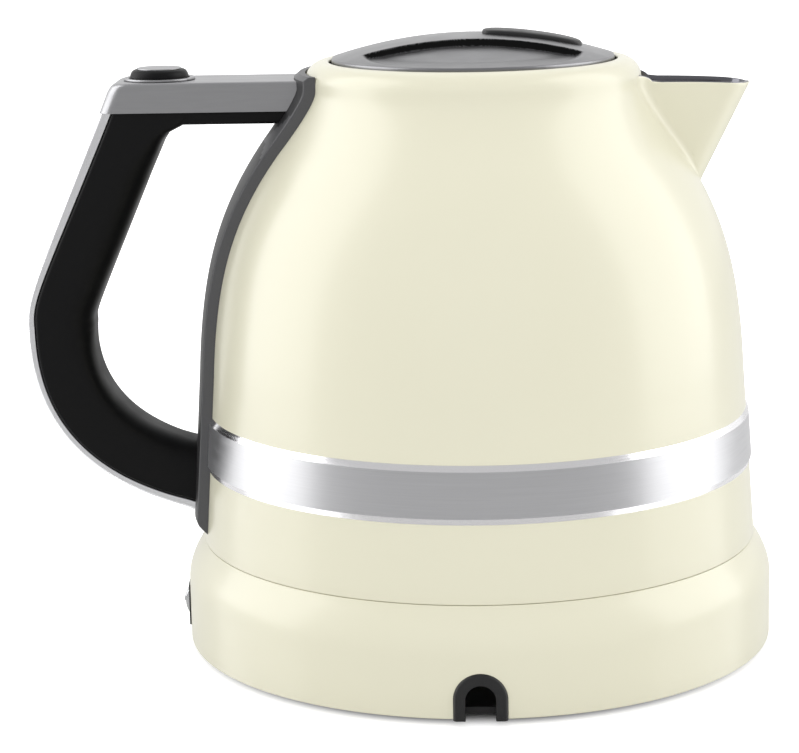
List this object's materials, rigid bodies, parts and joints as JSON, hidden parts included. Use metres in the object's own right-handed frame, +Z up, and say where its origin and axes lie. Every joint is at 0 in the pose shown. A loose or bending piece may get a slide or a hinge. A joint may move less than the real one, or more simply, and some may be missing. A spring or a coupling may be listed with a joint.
{
  "type": "electric kettle",
  "caption": "Dome-shaped cream electric kettle with a loop handle, hinged metal lid, beak spout and trim band, standing on a round power base.",
  "frame": {"origin": "on the jug's vertical axis, on the surface that the rubber feet stand on", "axes": "+Z up, +X towards the spout, -X towards the handle, -Y towards the cord outlet"},
  "size_m": [0.2732, 0.2227, 0.2268],
  "materials": {
    "cream_enamel": "gloss",
    "dark_plastic": "satin",
    "black_rubber": "matte",
    "steel": "satin",
    "brass": "polished",
    "ivory_plastic": "matte",
    "wire_insulation": "matte",
    "circuit_board": "satin",
    "chrome": "mirror",
    "polished_steel": "polished",
    "brushed_steel": "brushed",
    "aluminium": "plain",
    "grey_plastic": "satin",
    "clear_plastic": "clear",
    "satin_cast_metal": "satin",
    "black_grip": "satin",
    "silver_trim": "satin",
    "silicone": "matte",
    "dial_enamel": "satin",
    "clear_glass": "clear"
  },
  "bodies": {
    "base": {"base_housing": "cream_enamel", "base_deck": "dark_plastic", "base_pan": "dark_plastic", "rubber_feet": "black_rubber", "pan_screws": "steel", "cord_grommet": "dark_plastic", "connector_socket": "dark_plastic", "socket_contacts": "brass", "terminal_block": "ivory_plastic", "mains_wires": "wire_insulation", "control_board": "circuit_board", "board_components": "dark_plastic", "power_switch": "dark_plastic", "switch_bezel": "dark_plastic", "slider_track": "dark_plastic", "slider_sensor": "circuit_board"},
    "power_lever": {"power_lever": "chrome"},
    "temperature_slider": {"slider_knob": "chrome"},
    "connector_plug": {"connector_plug": "dark_plastic", "plug_contacts": "brass"},
    "kettle": {"outer_shell": "cream_enamel", "spout": "cream_enamel", "spout_liner": "polished_steel", "inner_vessel": "brushed_steel", "heater_plate": "aluminium", "heating_element": "steel", "kettle_control": "dark_plastic", "bottom_cover": "dark_plastic", "bottom_screws": "steel", "trim_band": "brushed_steel", "lid_collar": "grey_plastic", "hinge_pin": "steel", "hinge_spring": "steel", "handle_bracket": "grey_plastic", "level_window": "clear_plastic", "handle_arm": "satin_cast_metal", "arm_liner": "black_grip", "grip": "black_grip", "grip_spine": "silver_trim", "handle_screws": "steel", "button_collar": "satin_cast_metal", "button_springs": "steel", "filter_frame": "ivory_plastic", "filter_mesh": "steel", "thermometer_housing": "dark_plastic", "thermometer_bezel": "chrome", "thermometer_dial": "dial_enamel", "thermometer_lens": "clear_glass"},
    "lid": {"lid_cover": "satin_cast_metal", "lid_inner": "grey_plastic", "lid_seal": "silicone", "lid_grip_pad": "black_rubber"},
    "release_button": {"release_button": "black_grip", "button_cap": "satin_cast_metal"},
    "release_slider": {"release_slider": "grey_plastic"},
    "thermometer_needle": {"thermometer_needle": "dark_plastic"}
  },
  "joints": [
    {"name": "power_rocker", "type": "hinge", "parent": "base", "child": "power_lever", "pos_m": [-0.1027, 0, 0.014], "axis": [0, -1, 0], "range_deg": [0, 16]},
    {"name": "temperature_slide", "type": "hinge", "parent": "base", "child": "temperature_slider", "pos_m": [0, 0, 0.01325], "axis": [0, 0, 1], "range_deg": [-22, 22]},
    {"name": "kettle_lift", "type": "slide", "parent": "base", "child": "connector_plug", "axis": [0, 0, 1], "range_m": [0, 0.05]},
    {"name": "kettle_swivel", "type": "hinge", "parent": "connector_plug", "child": "kettle", "pos_m": [0, 0, 0.041], "axis": [0, 0, 1], "continuous": true},
    {"name": "lid_hinge", "type": "hinge", "parent": "kettle", "child": "lid", "pos_m": [-0.041, 0, 0.2156], "axis": [0, -1, 0], "range_deg": [0, 76]},
    {"name": "button_press", "type": "slide", "parent": "kettle", "child": "release_button", "axis": [0, 0, -1], "range_m": [0, 0.003], "stiffness_N_per_m": 500, "springref_m": -0.003, "deforming": ["button_springs"]},
    {"name": "catch_pull", "type": "slide", "parent": "kettle", "child": "release_slider", "axis": [-1, 0, 0], "range_m": [0, 0.003]},
    {"name": "needle_turn", "type": "hinge", "parent": "kettle", "child": "thermometer_needle", "pos_m": [0, 0.09639, 0.126], "axis": [0, -0.9893, -0.1459], "range_deg": [0, 240], "stiffness_Nm_per_rad": 0.0005}
  ],
  "couplings": [
    {"joint": "catch_pull", "follows": "button_press", "ratio": 1}
  ]
}
